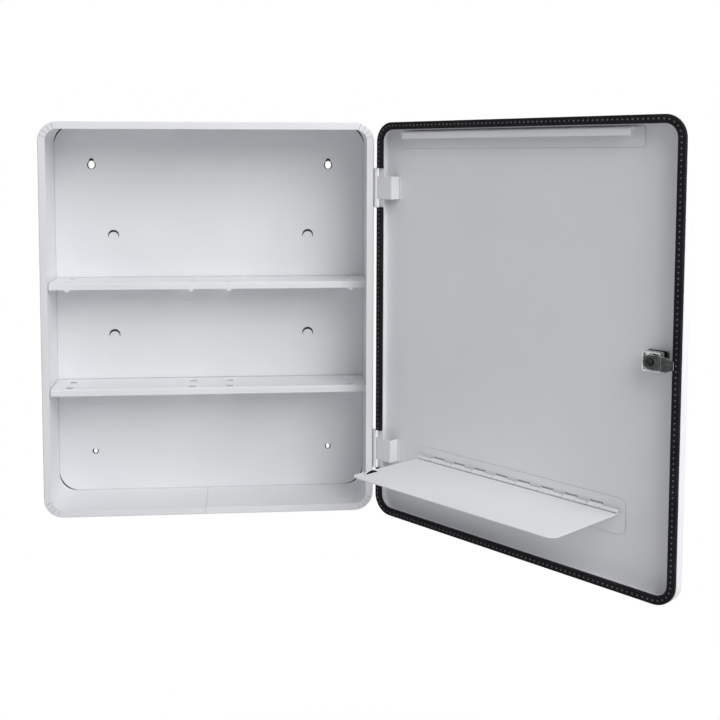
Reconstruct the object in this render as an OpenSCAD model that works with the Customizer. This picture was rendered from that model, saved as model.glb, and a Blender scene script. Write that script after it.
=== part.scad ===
// Lockable wall cabinet for medicines: a sheet steel body with two shelves, and a
// pan-shaped door with a rubber seal, a hook rail, a fold-down tray and a cam lock.
// Origin: middle of the back face. X runs to the right, Y into the wall and Z up.

/* [Cabinet body] */
// Width of the cabinet
body_w = 410; // [360:1:480]
// Height of the cabinet
body_h = 490; // [440:1:600]
// Depth of the body, from the wall to the face of its front lip
body_d = 108; // [96:1:140]
// Thickness of the sheet steel
sheet = 1; // [0.8:0.1:1.4]
// Width of the body's front lip, measured from the outside
body_lip = 9; // [7:0.5:12]
// Outside radius of the four corners of body and door
corner_r = 24; // [20:1:30]
// Inside radius of a sharp fold in the sheet
fold_in = 0.5; // [0.3:0.1:1]
// Corner radius of the back panel, larger than the shell's, so that a slit stays open
panel_corner_r = 28; // [28:1:36]
// Depth of the fine grooves: the butt seam and the crimps in the lip's corners
groove = 0.5; // [0.2:0.05:0.5]
// Width of the butt seam and of the crimps on the body's front lip
seam_w = 1.2; // [0.5:0.1:2]
// Place of the butt seam across the bottom, from the middle
seam_x = -6.5; // [-40:0.5:40]

/* [Back panel holes] */
// Distance of each keyhole from the side of the body
keyhole_side = 49; // [45:0.5:70]
// Distance of the keyholes' round lobes from the top of the body
keyhole_drop = 53.5; // [45:0.5:80]
// Diameter of a keyhole's round lobe, which passes a screw head
keyhole_lobe_d = 11.5; // [9:0.5:13]
// Width of a keyhole's slot, which holds the screw's neck
keyhole_slot_w = 6.4; // [4:0.1:7]
// Height from the lobe's middle to the top of the slot
keyhole_rise = 9; // [8:0.5:14]
// Distance of each round screw hole from the side of the body
screw_side = 49; // [45:0.5:70]
// Distance of the round screw holes from the bottom of the body
screw_rise = 54; // [45:0.5:80]
// Diameter of the round screw holes
screw_d = 8.2; // [5:0.1:10]
// Distance of each row of half-moon tabs from the side of the body
moon_side = 76.5; // [60:0.5:100]
// Distance of the upper half-moon tabs from the top of the body
moon_drop = 144.5; // [120:0.5:170]
// Distance from the upper half-moon tabs down to the lower ones
moon_rows = 132.5; // [100:0.5:140]
// Width of a half-moon tab's window
moon_w = 14.6; // [14:0.2:18]
// Height of a half-moon tab's window
moon_h = 11; // [9:0.5:12]
// Width of the cut beside a tab
moon_cut = 0.8; // [0.6:0.1:1.5]
// Width of the cut over a tab's free end
moon_gap = 2.6; // [1.5:0.1:4]
// Lean of a tab into the cabinet, in degrees
moon_lean = 6; // [3:1:25]

/* [Shelves] */
// Distance from the top of the body down to the upper shelf's top
upper_shelf_drop = 202; // [180:1:210]
// Height of the lower shelf's top above the bottom of the body
lower_shelf_rise = 152; // [130:1:170]
// Distance from the face of the body's lip back to the shelves' front edge
shelf_setback = 42.5; // [36:0.5:60]
// Height of a shelf's folded front lip
shelf_lip = 8.8; // [6:0.2:14]
// Height of a shelf's folded flange on the back panel
shelf_flange = 12; // [8:1:18]
// Gap between a shelf's end and the side wall
shelf_end_gap = 2; // [1:0.5:6]
// Inside radius of a shelf's folds
shelf_fold_in = 1; // [0.5:0.1:2]
// Width of a divider slot
slot_w = 9; // [5:0.5:12]
// Length of a divider slot, from front to back
slot_deep = 11; // [2:0.5:12]
// Distance of the divider slots from a shelf's front edge
slot_front = 5; // [4:0.5:12]
// Distance from the front row of divider slots to the rear row
slot_rows = 33; // [24:1:38]
// Distance of the two outer pairs of divider slots from the shelf's ends
slot_end = 22; // [10:1:60]
// Half the distance between the two inner pairs of divider slots
slot_inner_x = 24; // [15:1:60]
// Radius of the round tabs under the upper shelf's lip
lip_tab_r = 3; // [2:0.5:4]

/* [Door] */
// Gap between the lips of body and door, which the seal fills
seal_gap = 4; // [3.6:0.1:5]
// Depth of the door pan, from its lip to its outer face
door_t = 15; // [13:0.5:22]
// Width of the door's lip, measured from the outside
door_lip = 10; // [9.5:0.5:13]
// Outside radius of the fold around the door's face
door_fold_r = 5; // [3:0.5:8]
// How far the door stands open in the drawn position, in degrees
door_open = 129; // [0:1:170]
// Width of the rubber seal
seal_w = 8.7; // [6:0.1:9]
// Distance of the seal from the door's outside edge
seal_inset = 0.3; // [0.2:0.1:0.5]
// Clearance between the seal and the closed body's lip
seal_clear = 0.3; // [0.2:0.05:0.5]
// Radius of the seal's rounded edges
seal_round = 1.2; // [0.5:0.1:1.5]
// Clearance between the seal's ends and a hinge
seal_end_gap = 0.3; // [0.2:0.1:2]

/* [Door hinges] */
// Distance of each hinge's middle from the top or the bottom
hinge_end = 80.5; // [60:0.5:100]
// Length of a hinge's barrel
hinge_len = 48; // [40:1:60]
// Length of the barrel's middle knuckle, which is also the door leaf's height
hinge_mid_len = 28; // [20:1:30]
// Outside radius of the knuckles
hinge_knuckle_r = 2; // [1.9:0.1:2.2]
// Radius of the hinge pin
hinge_pin_r = 1; // [0.9:0.05:1.2]
// Running clearance around the hinge pin
pin_clear = 0.05; // [0.02:0.01:0.1]
// Gap between neighbouring knuckles
knuckle_gap = 0.15; // [0.1:0.05:0.5]
// Thickness of the hinge leaves
leaf_t = 1; // [0.8:0.1:1.2]
// Corner radius of the body's leaf
leaf_corner_r = 4; // [2:0.5:6]
// How far the body's leaf reaches back along the side wall
body_leaf_len = 20; // [14:1:30]
// Distance from the pin to the riser of the door's leaf
door_leaf_len = 24.5; // [18:0.5:40]
// Length of the door leaf's foot on the door's inner face
door_leaf_foot = 4.5; // [2:0.5:10]
// Radius of the pin's heads
pin_head_r = 1.7; // [1.4:0.1:1.9]
// Height of the pin's heads
pin_head_h = 0.8; // [0.5:0.1:1.5]

/* [Hook rail] */
// Distance of the rail from the door's hinge side
rail_hinge_gap = 28; // [28:0.5:60]
// Distance of the rail from the door's lock side
rail_lock_gap = 53; // [28:0.5:80]
// Distance from the door's top down to the rail's top
rail_drop = 11.2; // [11.2:0.1:20]
// How far the rail stands out from the door's inner face
rail_out = 12.7; // [9:0.1:12.8]
// Height of the rail's flange on the door, measured from the rail's top
rail_flange = 20.8; // [16:0.2:30]
// Height of the rail's front lip, measured from the rail's top
rail_lip = 9.2; // [7:0.2:13]
// Outside radius of the rail's bends
rail_bend_r = 3; // [2:0.1:4]
// How far the rail's flange reaches past each end of its web and front lip
rail_end = 10; // [0:1:20]
// Radius of the flange's corners
rail_corner_r = 3; // [1:0.5:6]

/* [Tray] */
// Distance of the tray from the door's hinge side
tray_hinge_gap = 63; // [60:0.5:70]
// Height of the tray's pin above the bottom
tray_rise = 80.5; // [70:0.5:85]
// Distance from the hinge plate's face to the tray's pin
tray_pin_out = 5; // [4.5:0.1:5.5]
// Width of the tray
tray_w = 276; // [268:1:280]
// Clearance between the lowered tray and the back panel when the door is closed
tray_clear = 0.6; // [0.6:0.1:30]
// Radius of the tray's front corners
tray_corner_r = 11; // [6:0.5:20]
// Upward tilt of the lowered tray, in degrees
tray_tilt = 1.5; // [0:0.1:2.5]
// Number of knuckles on the hinge plate
knuckles = 8; // [4:1:8]
// Distance from one plate knuckle to the next
knuckle_pitch = 31.2; // [24:0.1:32]
// Length of a plate knuckle
knuckle_len = 15.6; // [10:0.1:16]
// Outside radius of the tray's knuckles
tray_knuckle_r = 2.3; // [2.3:0.1:2.6]
// Radius of the tray's pin
tray_pin_r = 1.2; // [1:0.05:1.2]
// Sideways gap between the knuckles of plate and tray
tray_gap = 0.3; // [0.2:0.05:0.6]
// Height of the dark slot over each plate knuckle
plate_slot_h = 1.8; // [1:0.1:3]
// How far the hinge plate reaches past each end of the tray
plate_over = 5; // [2:0.5:12]
// How far the hinge plate reaches above the tray's pin
plate_up = 13; // [8:0.5:20]
// How far the hinge plate reaches below the tray's pin
plate_down = 25.5; // [15:0.5:40]
// Corner radius of the hinge plate
plate_corner_r = 8; // [4:0.5:12]
// Clearance between the tray's heel and the hinge plate, where the lowered tray rests
heel_clear = 0.3; // [0.2:0.05:0.4]
// Radius of the raised half-moon in the tray, at its foot
hood_r = 12.5; // [8:0.5:13]
// Height of the cap that the half-moon is cut from
hood_h = 5; // [3:0.1:5]
// Distance of the half-moon's mouth from the middle of its cap
hood_cut = 4.5; // [4.5:0.1:6]
// Distance of the half-moon's mouth from the tray's hinge-side end
hood_side = 8.5; // [8.5:0.5:30]
// Distance of the half-moon's middle from the tray's front edge
hood_front = 27; // [24:0.5:60]

/* [Lock] */
// Distance of the lock's axis from the door's free edge
lock_inset = 32.5; // [30:0.5:36]
// Height of the lock above the middle
lock_z = 0; // [-20:1:20]
// Radius of the lock's threaded barrel
lock_barrel_r = 8; // [7.5:0.1:9]
// Radius of the lock's outside flange
lock_flange_r = 11; // [10:0.5:13]
// Thickness of the lock's outside flange
lock_flange_t = 2.2; // [1.6:0.1:3]
// Gap between the barrel's inner end and the plane of the body's lip
lock_end = 1.2; // [1:0.1:2]
// Gap between the barrel's inner end and the cam
cam_gap = 0.4; // [0.3:0.1:0.6]
// Radius of the turning plug
plug_r = 5.5; // [5:0.1:6]
// Running clearance around the plug
plug_clear = 0.07; // [0.03:0.01:0.1]
// Radius of the plug's head
plug_head_r = 6.5; // [6.3:0.1:7]
// Depth of the plug's head
plug_head_t = 1.5; // [1:0.1:2]
// Height of the key slit
key_h = 8; // [6:0.1:9]
// Width of the key slit
key_w = 1.2; // [0.8:0.1:2]
// Depth of the key slit
key_deep = 9; // [5:0.5:12]
// Side of the plug's square end, which drives the cam
drive_side = 6; // [5:0.1:7]
// Width of the cam
cam_w = 14.7; // [12:0.1:18]
// Thickness of the cam
cam_t = 1.5; // [1.2:0.1:2]
// Reach of the cam from the lock's axis
cam_reach = 27.5; // [26.5:0.5:29]
// Height of the step in the cam
cam_step = 3; // [2.8:0.1:4]
// Distance from the lock's axis to the start of the cam's step
cam_step_at = 10.5; // [9:0.5:12]
// Width of the cam's tip
cam_tip_w = 8; // [6:0.1:10]
// Radius of the cam screw's head
cam_screw_head_r = 4.6; // [3.5:0.1:5.5]
// Height of the cam screw's head
cam_screw_head_t = 1.8; // [1.2:0.1:2.5]
// Bevel around the cam screw's head
cam_screw_bevel = 0.5; // [0.3:0.1:1]
// Turn of the slot in the cam screw's head, in degrees
cam_screw_turn = 35; // [0:1:90]
// Radius of the cam screw's shank
cam_screw_r = 1.9; // [1.5:0.1:2]
// Length of the cam screw's shank
cam_screw_len = 8; // [5:0.5:10]
// Width across the lock's square clip
clip_w = 22; // [20:0.5:26]
// Height of the lock's square clip
clip_h = 21; // [20:0.5:26]
// How far the clip stands off the door's inner face
clip_out = 3; // [2:0.1:5]
// Corner radius of the lock's square clip
clip_corner_r = 2; // [1:0.1:4]
// Gap between the lock's barrel and what it passes through
lock_hole_clear = 0.15; // [0.1:0.05:0.3]

/* [Hidden] */
$fn = 48;
// Overshoot of a cut past the face it starts from
eps = 0.5;
fold_r = sheet + fold_in;
door_lip_out = body_d + seal_gap;
door_face_out = door_lip_out + door_t;
skin_out = door_face_out - sheet;
pin_x = body_w / 2 + hinge_knuckle_r;
pin_out = door_lip_out - hinge_knuckle_r;
plate_out = skin_out - sheet;
tray_pin_plane = plate_out - tray_pin_out;
tray_depth = (tray_pin_plane - sheet - tray_clear) / cos(tray_tilt);
tray_x = body_w / 2 - tray_hinge_gap - tray_w / 2;
tray_z = tray_rise - body_h / 2;
plate_w = tray_w + 2 * plate_over;
rail_len = body_w - rail_hinge_gap - rail_lock_gap;
rail_x = (rail_lock_gap - rail_hinge_gap) / 2;
hinge_z = body_h / 2 - hinge_end;
shelf_front = body_d - shelf_setback;
shelf_len = body_w - 2 * sheet - 2 * shelf_end_gap;
slot_outer_x = shelf_len / 2 - slot_end;
upper_shelf_z = body_h / 2 - upper_shelf_drop;
lower_shelf_z = lower_shelf_rise - body_h / 2;
seal_t = seal_gap - seal_clear;
lock_x = lock_inset - body_w / 2;
cam_out = body_d + lock_end - cam_gap - cam_t;
clip_face_out = skin_out - clip_out;

// Colours
white = [0.9, 0.9, 0.91];
black = [0.06, 0.06, 0.07];
zinc = [0.66, 0.67, 0.69];
steel = [0.75, 0.75, 0.76];

// Stands a flat drawing up: drawn height becomes Z, and thickness grows away from the wall
module upright() {
    rotate([90, 0, 0]) children();
}

// Lays a drawing of Y and Z along X, centred, with the given length
module along_x(length) {
    translate([-length / 2, 0, 0]) rotate([90, 0, 90]) linear_extrude(length) children();
}

// Turns what is drawn on the closed door to the place where the open door stands
module on_door() {
    translate([pin_x, -pin_out, 0]) rotate(door_open) translate([-pin_x, pin_out, 0]) children();
}

// Turns what is drawn around the tray's pin to the lowered tray on the open door
module on_tray() {
    on_door() translate([tray_x, -tray_pin_plane, tray_z]) rotate([tray_tilt, 0, 0]) children();
}

// Puts what is drawn around the lock's axis on the open door
module on_lock() {
    on_door() translate([lock_x, 0, lock_z]) children();
}

// Rectangle with rounded corners, centred
module rounded_rect(w, h, r) {
    square([w - 2 * r, h], center = true);
    square([w, h - 2 * r], center = true);
    for (x = [-1, 1], y = [-1, 1]) translate([x * (w / 2 - r), y * (h / 2 - r)]) circle(r);
}

// Quarter of a bent sheet: its outside radius, its thickness and the quarter it fills
module bend(r, t, quarter) {
    intersection() {
        difference() {
            circle(r);
            circle(r - t);
        }
        rotate(90 * quarter) square(r + eps);
    }
}

// Sweeps a section round a rounded rectangle; its x is the distance in from the outline
module swept(w, h, r) {
    for (k = [0 : 3]) {
        run = (k % 2 == 0 ? w : h) - 2 * r;
        across = (k % 2 == 0 ? h : w) / 2;
        rotate(90 * k) {
            translate([-run / 2, -across, 0]) rotate([90, 0, 90]) linear_extrude(run) children();
            translate([run / 2, r - across, 0])
                rotate([0, 0, -90]) rotate_extrude(angle = 90)
                    translate([r, 0]) mirror([1, 0]) children();
        }
    }
}

// Section of the body's band: side wall, fold and front lip
module body_section() {
    square([sheet, body_d - fold_r]);
    translate([fold_r, body_d - sheet]) square([body_lip - fold_r, sheet]);
    translate([fold_r, body_d - fold_r]) bend(fold_r, sheet, 1);
}

// Body band with its butt seam and the crimp marks in the corners of its lip
module body_shell() {
    lip_r = corner_r - body_lip;
    crimp_len = body_lip - fold_r + eps;
    color(white) upright() difference() {
        swept(body_w, body_h, corner_r) body_section();
        translate([seam_x - groove / 2, -body_h / 2 + sheet - groove, -eps])
            cube([groove, body_lip + eps, body_d - sheet + eps]);
        translate([seam_x - seam_w / 2, -body_h / 2 - eps, body_d - groove])
            cube([seam_w, body_lip + 2 * eps, groove + eps]);
        for (x = [-1, 1], y = [-1, 1], turn = [18, 36, 54, 72])
            translate([x * (body_w / 2 - corner_r), y * (body_h / 2 - corner_r), body_d - groove])
                rotate(atan2(y, x) - 45 + turn)
                    translate([lip_r - eps, -seam_w / 2, 0])
                        cube([crimp_len, seam_w, groove + eps]);
    }
}

// Outline of a half-moon: a circle of the given width, cut off flat at the foot
module moon_outline(w, h) {
    intersection() {
        translate([0, h - w / 2]) circle(w / 2);
        translate([-w / 2, 0]) square([w, h]);
    }
}

// Places its children at the foot of each half-moon tab
module at_moons() {
    for (x = [-1, 1], row = [0, 1])
        translate([x * (body_w / 2 - moon_side), body_h / 2 - moon_drop - row * moon_rows - moon_h / 2])
            children();
}

// Keyhole: a round lobe with a narrower slot that rises from it
module keyhole() {
    circle(d = keyhole_lobe_d);
    translate([0, keyhole_rise - keyhole_slot_w / 2]) circle(d = keyhole_slot_w);
    translate([-keyhole_slot_w / 2, 0]) square([keyhole_slot_w, keyhole_rise - keyhole_slot_w / 2]);
}

// Back panel with its screw holes and the lanced half-moon tabs
module back_panel() {
    flap_w = moon_w - 2 * moon_cut;
    flap_h = moon_h - moon_gap;
    color(white) upright() {
        linear_extrude(sheet) difference() {
            rounded_rect(body_w - 2 * sheet, body_h - 2 * sheet, panel_corner_r);
            for (x = [-1, 1]) {
                translate([x * (body_w / 2 - keyhole_side), body_h / 2 - keyhole_drop]) keyhole();
                translate([x * (body_w / 2 - screw_side), screw_rise - body_h / 2]) circle(d = screw_d);
            }
            at_moons() moon_outline(moon_w, moon_h);
        }
        at_moons() rotate([moon_lean, 0, 0]) translate([0, -sheet / 4, 0])
            linear_extrude(sheet) moon_outline(flap_w, flap_h);
    }
}

// Shelf: top, folded front lip and folded flange on the back panel, with divider slots
module shelf(top_z) {
    bend_r = sheet + shelf_fold_in;
    difference() {
        translate([0, 0, top_z]) along_x(shelf_len) {
            translate([-shelf_front + bend_r, -sheet])
                square([shelf_front - sheet - 2 * bend_r, sheet]);
            translate([-shelf_front + bend_r, -bend_r]) bend(bend_r, sheet, 1);
            translate([-shelf_front, -shelf_lip]) square([sheet, shelf_lip - bend_r]);
            translate([-sheet - bend_r, -bend_r]) bend(bend_r, sheet, 0);
            translate([-2 * sheet, -shelf_flange]) square([sheet, shelf_flange - bend_r]);
        }
        for (x = [-slot_outer_x, -slot_inner_x, slot_inner_x, slot_outer_x], row = [0, 1])
            translate([x - slot_w / 2, -shelf_front + slot_front + row * slot_rows, top_z - sheet - eps])
                cube([slot_w, slot_deep, sheet + 2 * eps]);
    }
}

// Upper shelf, which also has round tabs under its front lip
module upper_shelf() {
    color(white) {
        shelf(upper_shelf_z);
        for (x = [-slot_outer_x, -slot_inner_x, slot_inner_x, slot_outer_x])
            translate([x, -shelf_front + sheet, upper_shelf_z - shelf_lip])
                upright() cylinder(r = lip_tab_r, h = sheet);
    }
}

module lower_shelf() {
    color(white) shelf(lower_shelf_z);
}

// Body's half of a door hinge: a leaf on the side wall with the two end knuckles
module hinge_body_leaf(z) {
    end_len = (hinge_len - hinge_mid_len) / 2 - knuckle_gap;
    leaf_start = body_d - leaf_t;
    leaf_len = body_leaf_len - leaf_t;
    color(white) translate([0, 0, z]) difference() {
        union() {
            translate([(body_w + leaf_t) / 2, -leaf_start, 0]) along_x(leaf_t) intersection() {
                rounded_rect(2 * leaf_len, hinge_len, leaf_corner_r);
                translate([0, -hinge_len / 2]) square([leaf_len, hinge_len]);
            }
            for (side = [0, 1]) mirror([0, 0, side])
                translate([0, 0, hinge_len / 2 - end_len]) {
                    translate([pin_x, -pin_out, 0]) cylinder(r = hinge_knuckle_r, h = end_len);
                    translate([body_w / 2, -pin_out, 0])
                        cube([leaf_t, pin_out - leaf_start + eps, end_len]);
                }
        }
        translate([pin_x, -pin_out, -hinge_len])
            cylinder(r = hinge_pin_r + pin_clear, h = 2 * hinge_len);
    }
}

module upper_hinge_body_leaf() {
    hinge_body_leaf(hinge_z);
}

module lower_hinge_body_leaf() {
    hinge_body_leaf(-hinge_z);
}

// Hinge pin with a low head at each end
module hinge_pin(z) {
    color(steel) translate([pin_x, -pin_out, z]) {
        cylinder(r = hinge_pin_r, h = hinge_len, center = true);
        for (side = [0, 1]) mirror([0, 0, side])
            translate([0, 0, hinge_len / 2]) cylinder(r1 = pin_head_r, r2 = hinge_pin_r, h = pin_head_h);
    }
}

module upper_hinge_pin() {
    hinge_pin(hinge_z);
}

module lower_hinge_pin() {
    hinge_pin(-hinge_z);
}

// Section of the door: lip, fold, side wall and the wide fold into the face
module door_section() {
    translate([fold_r, door_lip_out]) square([door_lip - fold_r, sheet]);
    translate([fold_r, door_lip_out + fold_r]) bend(fold_r, sheet, 2);
    translate([0, door_lip_out + fold_r]) square([sheet, door_t - fold_r - door_fold_r]);
    translate([door_fold_r, door_face_out - door_fold_r]) bend(door_fold_r, sheet, 1);
}

// Door pan with the hole for the lock
module door_panel() {
    flat_w = body_w - 2 * door_fold_r;
    flat_h = body_h - 2 * door_fold_r;
    color(white) on_door() difference() {
        upright() {
            swept(body_w, body_h, corner_r) door_section();
            translate([0, 0, skin_out])
                linear_extrude(sheet) rounded_rect(flat_w, flat_h, corner_r - door_fold_r);
        }
        translate([lock_x, -skin_out + eps, lock_z])
            upright() cylinder(r = lock_barrel_r + lock_hole_clear, h = sheet + 2 * eps);
    }
}

// Section of the seal: flat on the door's lip, with rounded edges towards the body
module seal_section() {
    translate([seal_inset, door_lip_out - seal_t]) {
        translate([0, seal_round]) square([seal_w, seal_t - seal_round]);
        translate([seal_round, 0]) square([seal_w - 2 * seal_round, seal_round]);
        for (x = [seal_round, seal_w - seal_round]) translate([x, seal_round]) circle(seal_round);
    }
}

// Rubber seal on the door's lip, cut away at both hinges
module door_seal() {
    cut_h = hinge_len + 2 * seal_end_gap;
    color(black) on_door() difference() {
        upright() swept(body_w, body_h, corner_r) seal_section();
        for (z = [-hinge_z, hinge_z])
            translate([body_w / 2 - door_lip - eps, -door_lip_out - eps, z - cut_h / 2])
                cube([door_lip + 2 * eps, seal_gap + 2 * eps, cut_h]);
    }
}

// Door's half of a hinge: middle knuckle, leaf over the lip, riser and foot on the face
module hinge_door_leaf(z) {
    riser_x = pin_x - door_leaf_len;
    rise = skin_out - door_lip_out;
    color(white) on_door() translate([0, 0, z - hinge_mid_len / 2]) difference() {
        union() {
            translate([pin_x, -pin_out, 0]) cylinder(r = hinge_knuckle_r, h = hinge_mid_len);
            translate([riser_x, -door_lip_out, 0]) cube([door_leaf_len, leaf_t, hinge_mid_len]);
            translate([riser_x - leaf_t, -skin_out + leaf_t, 0])
                cube([leaf_t, rise - leaf_t, hinge_mid_len]);
            translate([riser_x, -door_lip_out, 0])
                linear_extrude(hinge_mid_len) bend(leaf_t, leaf_t, 1);
            translate([riser_x - door_leaf_foot, -skin_out, 0])
                cube([door_leaf_foot, leaf_t, hinge_mid_len]);
        }
        translate([pin_x, -pin_out, -eps])
            cylinder(r = hinge_pin_r + pin_clear, h = hinge_mid_len + 2 * eps);
    }
}

module upper_hinge_door_leaf() {
    hinge_door_leaf(hinge_z);
}

module lower_hinge_door_leaf() {
    hinge_door_leaf(-hinge_z);
}

// Hook rail: flange on the door's face, top web and a front lip that hangs down
module hook_rail() {
    r = rail_bend_r;
    color(white) on_door() translate([rail_x, -skin_out, body_h / 2 - rail_drop]) {
        translate([0, sheet, -rail_flange / 2])
            upright() linear_extrude(sheet) rounded_rect(rail_len, rail_flange, rail_corner_r);
        along_x(rail_len - 2 * rail_end) {
            translate([r, -r]) bend(r, sheet, 1);
            translate([r, -sheet]) square([rail_out - 2 * r, sheet]);
            translate([rail_out - r, -r]) bend(r, sheet, 0);
            translate([rail_out - sheet, -rail_lip]) square([sheet, rail_lip - r]);
        }
    }
}

// Places its children at each plate knuckle, along X
module at_plate_knuckles() {
    for (i = [0 : knuckles - 1]) translate([(i - (knuckles - 1) / 2) * knuckle_pitch, 0, 0]) children();
}

// Hinge plate on the door's face, with a rolled knuckle under each slot
module tray_hinge_plate() {
    top = tray_knuckle_r;
    height = plate_up + plate_down;
    color(white) on_door() translate([tray_x, -tray_pin_plane, tray_z]) difference() {
        union() {
            translate([0, -tray_pin_out, (plate_up - plate_down) / 2])
                upright() linear_extrude(sheet) rounded_rect(plate_w, height, plate_corner_r);
            at_plate_knuckles() along_x(knuckle_len) {
                circle(tray_knuckle_r);
                translate([-tray_pin_out, top - sheet]) square([tray_pin_out, sheet]);
            }
        }
        at_plate_knuckles() {
            along_x(knuckle_len + 2 * eps) circle(tray_pin_r + pin_clear);
            translate([-knuckle_len / 2, -tray_pin_out - sheet - eps, top])
                cube([knuckle_len, sheet + 2 * eps, plate_slot_h]);
        }
    }
}

// Long pin of the tray's hinge
module tray_hinge_pin() {
    color(steel) on_door() translate([tray_x, -tray_pin_plane, tray_z])
        along_x(tray_w) circle(tray_pin_r);
}

// Outline of the tray from its heel to its front edge, seen from above
module tray_outline() {
    heel = tray_pin_out - heel_clear;
    r = tray_corner_r;
    translate([-tray_w / 2, -heel]) square([tray_w, heel + tray_depth - r]);
    translate([-tray_w / 2 + r, 0]) square([tray_w - 2 * r, tray_depth]);
    for (x = [-1, 1]) translate([x * (tray_w / 2 - r), tray_depth - r]) circle(r);
}

// Ball that the raised half-moon is a cap of, sunk so that its foot lies in the tray
module hood_ball(inset) {
    ball_r = (hood_r * hood_r + hood_h * hood_h) / (2 * hood_h);
    translate([-hood_cut, 0, hood_h - ball_r]) sphere(r = ball_r - inset);
}

// Puts what is drawn around the half-moon's mouth on the tray's top; the mouth faces left
module at_hood() {
    translate([tray_w / 2 - hood_side, tray_depth - hood_front, sheet - tray_knuckle_r]) children();
}

// Tray: a flat sheet with rolled knuckles along its hinge and a raised half-moon
module tray() {
    notch = knuckle_len + 2 * tray_gap;
    bottom = -tray_knuckle_r;
    color(white) on_tray() difference() {
        union() {
            translate([0, 0, bottom]) linear_extrude(sheet) tray_outline();
            along_x(tray_w) circle(tray_knuckle_r);
            at_hood() intersection() {
                hood_ball(0);
                translate([0, -hood_r, -sheet]) cube([hood_r, 2 * hood_r, hood_h + 2 * sheet]);
            }
        }
        along_x(tray_w + 2 * eps) circle(tray_pin_r + pin_clear);
        at_plate_knuckles()
            translate([-notch / 2, -tray_pin_out, bottom - eps])
                cube([notch, tray_pin_out + tray_knuckle_r + tray_gap, 2 * tray_knuckle_r + 2 * eps]);
        at_hood() intersection() {
            hood_ball(sheet);
            translate([-eps, -hood_r, -sheet - eps])
                cube([hood_r + eps, 2 * hood_r, hood_h + 2 * sheet]);
        }
    }
}

// Rubber buffer that fills the mouth of the half-moon
module tray_buffer() {
    color(black) on_tray() at_hood() intersection() {
        hood_ball(sheet);
        translate([0, -hood_r, 0]) cube([hood_cut, 2 * hood_r, hood_h]);
    }
}

// Lock barrel through the door, with its outside flange and the bore for the plug
module lock_housing() {
    color(zinc) on_lock() upright() difference() {
        union() {
            translate([0, 0, body_d + lock_end])
                cylinder(r = lock_barrel_r, h = door_face_out - body_d - lock_end);
            translate([0, 0, door_face_out]) cylinder(r1 = lock_flange_r,
                r2 = lock_flange_r - lock_flange_t / 2, h = lock_flange_t);
        }
        translate([0, 0, body_d]) cylinder(r = plug_r + plug_clear, h = 2 * door_t);
        translate([0, 0, door_face_out + lock_flange_t - plug_head_t])
            cylinder(r = plug_head_r + plug_clear, h = plug_head_t + eps);
    }
}

// Square spring clip that holds the barrel behind the door's face
module lock_clip() {
    color(zinc) on_lock() upright() difference() {
        translate([0, 0, clip_face_out]) linear_extrude(clip_out) rounded_rect(clip_w, clip_h, clip_corner_r);
        translate([-clip_w / 2 + sheet, -clip_h, clip_face_out + sheet])
            cube([clip_w - 2 * sheet, 2 * clip_h, clip_out]);
        translate([0, 0, clip_face_out - eps])
            cylinder(r = lock_barrel_r + lock_hole_clear, h = clip_out + 2 * eps);
    }
}

// Turning plug with its head, key slit and square end
module lock_plug() {
    head_out = door_face_out + lock_flange_t;
    seat = cam_out + cam_t;
    color(steel) on_lock() upright() difference() {
        union() {
            translate([0, 0, seat]) cylinder(r = plug_r, h = head_out - seat);
            translate([0, 0, head_out - plug_head_t]) cylinder(r = plug_head_r, h = plug_head_t);
            translate([-drive_side / 2, -drive_side / 2, cam_out])
                cube([drive_side, drive_side, cam_t + eps]);
        }
        translate([-key_w / 2, -key_h / 2, head_out - key_deep]) cube([key_w, key_h, key_deep + eps]);
        translate([0, 0, cam_out - eps]) cylinder(r = cam_screw_r, h = cam_screw_len + eps);
    }
}

// Cam in plan: a round end about the axis, straight sides and a narrower tip
module cam_plan() {
    taper_end = cam_tip_w - cam_reach;
    difference() {
        union() {
            circle(d = cam_w);
            translate([-cam_reach, -cam_w / 2]) square([cam_reach, cam_w]);
        }
        for (side = [-1, 1]) polygon([
            [-cam_reach, side * cam_tip_w / 2], [-cam_reach - eps, side * cam_tip_w / 2],
            [-cam_reach - eps, side * cam_w], [taper_end, side * cam_w],
            [taper_end, side * cam_w / 2]
        ]);
    }
}

// Cam from the side: flat at the axis, a slanted step, then flat behind the body's lip
module cam_side() {
    ramp_end = cam_step_at + cam_step;
    polygon([
        [cam_w, 0], [-cam_step_at, 0], [-ramp_end, -cam_step], [-cam_reach - eps, -cam_step],
        [-cam_reach - eps, cam_t - cam_step], [-ramp_end, cam_t - cam_step],
        [-cam_step_at, cam_t], [cam_w, cam_t]
    ]);
}

// Cranked cam that passes behind the body's lip when the lock is turned
module lock_cam() {
    color(zinc) on_lock() upright() translate([0, 0, cam_out]) difference() {
        intersection() {
            translate([0, 0, -cam_step - eps]) linear_extrude(cam_step + cam_t + 2 * eps) cam_plan();
            translate([0, cam_w, 0]) rotate([90, 0, 0]) linear_extrude(2 * cam_w) cam_side();
        }
        translate([-drive_side / 2, -drive_side / 2, -eps])
            cube([drive_side, drive_side, cam_t + 2 * eps]);
    }
}

// Slotted screw that holds the cam on the plug
module cam_screw() {
    color(steel) on_lock() upright() translate([0, 0, cam_out]) difference() {
        union() {
            translate([0, 0, -cam_screw_head_t])
                cylinder(r1 = cam_screw_head_r - cam_screw_bevel, r2 = cam_screw_head_r,
                    h = cam_screw_head_t);
            cylinder(r = cam_screw_r, h = cam_screw_len - eps);
        }
        rotate(cam_screw_turn) translate([-cam_screw_head_r - eps, -key_w / 2, -cam_screw_head_t - eps])
            cube([2 * cam_screw_head_r + 2 * eps, key_w, cam_screw_head_t / 2 + eps]);
    }
}

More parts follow.
